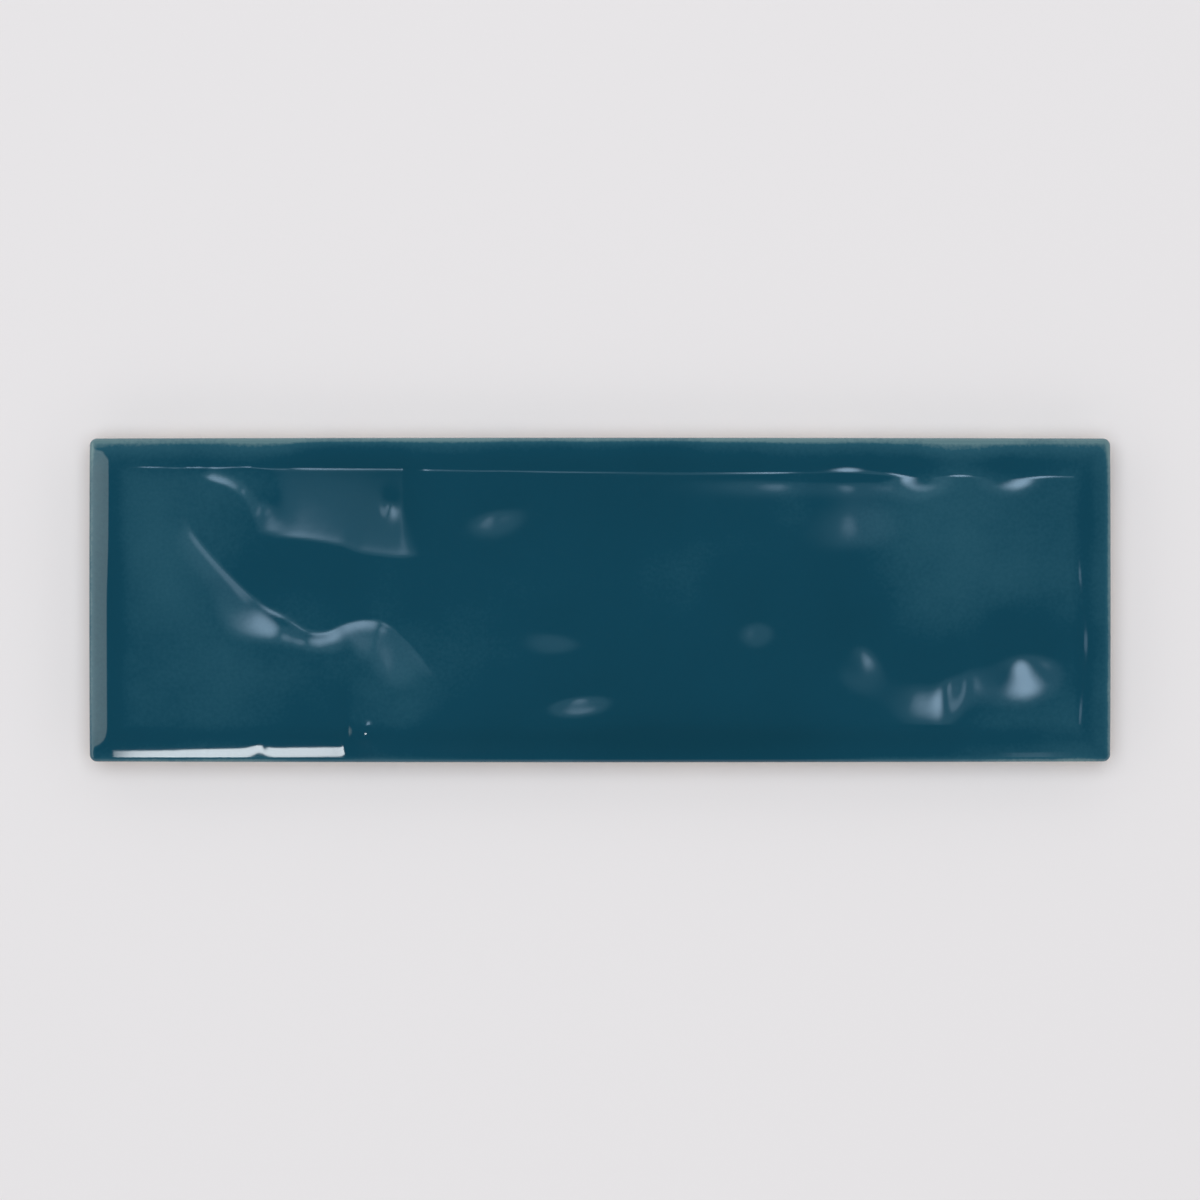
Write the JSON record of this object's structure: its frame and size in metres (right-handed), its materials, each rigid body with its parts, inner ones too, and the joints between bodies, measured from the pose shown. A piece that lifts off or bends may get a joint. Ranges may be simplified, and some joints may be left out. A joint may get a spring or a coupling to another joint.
{
  "type": "zellige tile",
  "caption": "Glazed ceramic wall tile of long brick format, with an uneven domed face and a keyed back for bedding in adhesive.",
  "frame": {"origin": "middle of the back, on the plane of its ribs and border", "axes": "+X along the tile, +Y across it, +Z out of the glazed face"},
  "size_m": [0.198, 0.063, 0.009],
  "materials": {
    "glazed_tile": "glossy teal glaze over a pale fired clay body, bare on the back and lower sides"
  },
  "bodies": {
    "root": {"glazed_tile": "glazed_tile"}
  },
  "joints": []
}
